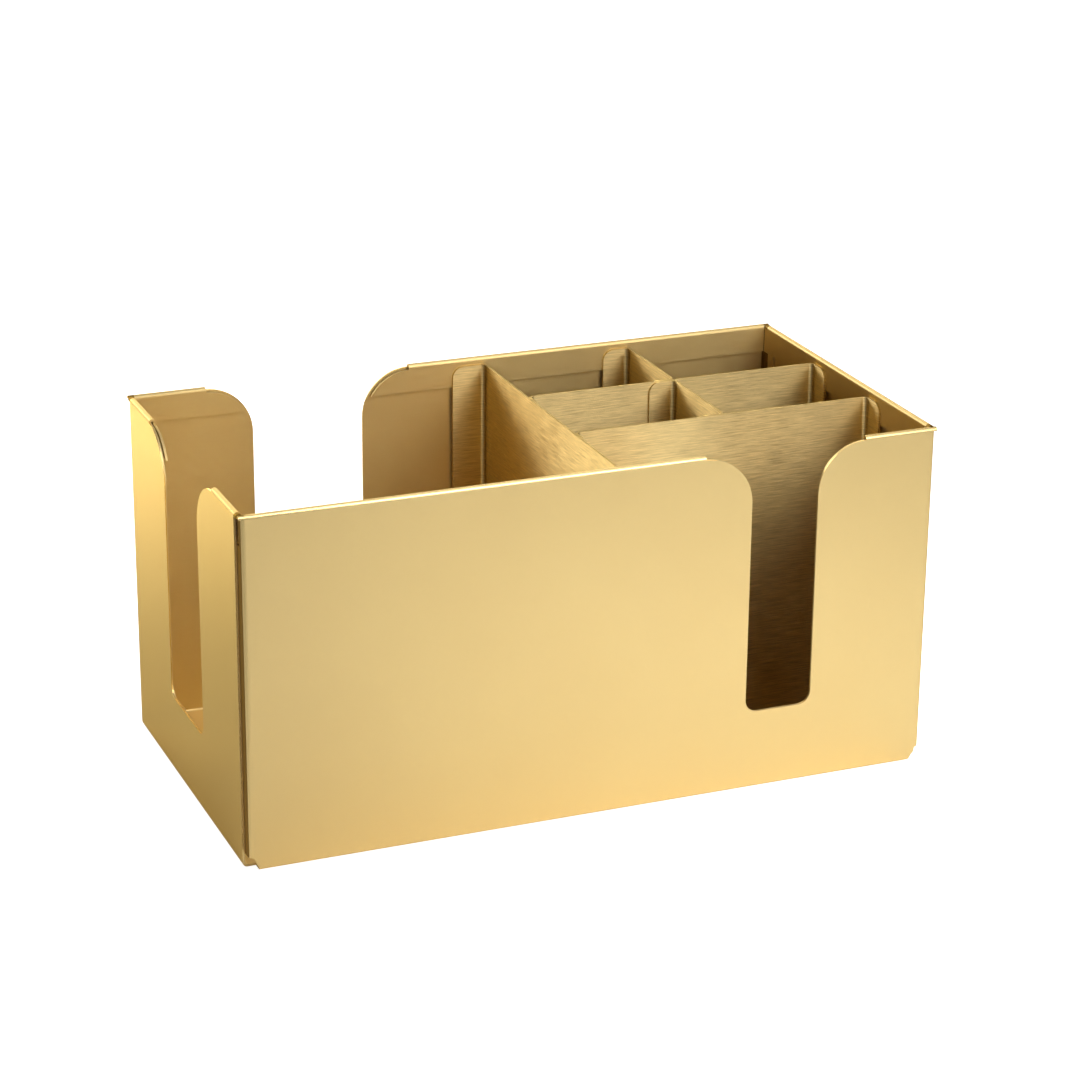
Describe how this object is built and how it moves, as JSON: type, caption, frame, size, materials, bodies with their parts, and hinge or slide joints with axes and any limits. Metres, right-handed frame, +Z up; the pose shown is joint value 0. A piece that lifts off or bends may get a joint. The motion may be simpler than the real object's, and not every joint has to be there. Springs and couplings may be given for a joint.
{
  "type": "bar caddy",
  "caption": "Open folded-metal box with hemmed rims, divided for napkins, straws and sachets, with finger slots in the front, back and one end.",
  "frame": {"origin": "middle of the underside", "axes": "+X along the box towards the straw end, +Y from the front wall with the straw slot to the back wall, +Z up"},
  "size_m": [0.25, 0.133, 0.1245],
  "materials": {
    "shell_metal": "satin, gold-coloured stainless steel",
    "divider_metal": "brushed, gold-coloured stainless steel"
  },
  "bodies": {
    "root": {"outer_shell": "shell_metal", "napkin_divider": "divider_metal", "straw_divider": "divider_metal", "middle_divider": "divider_metal", "middle_cross_divider": "divider_metal", "back_cross_divider": "divider_metal"}
  },
  "joints": []
}
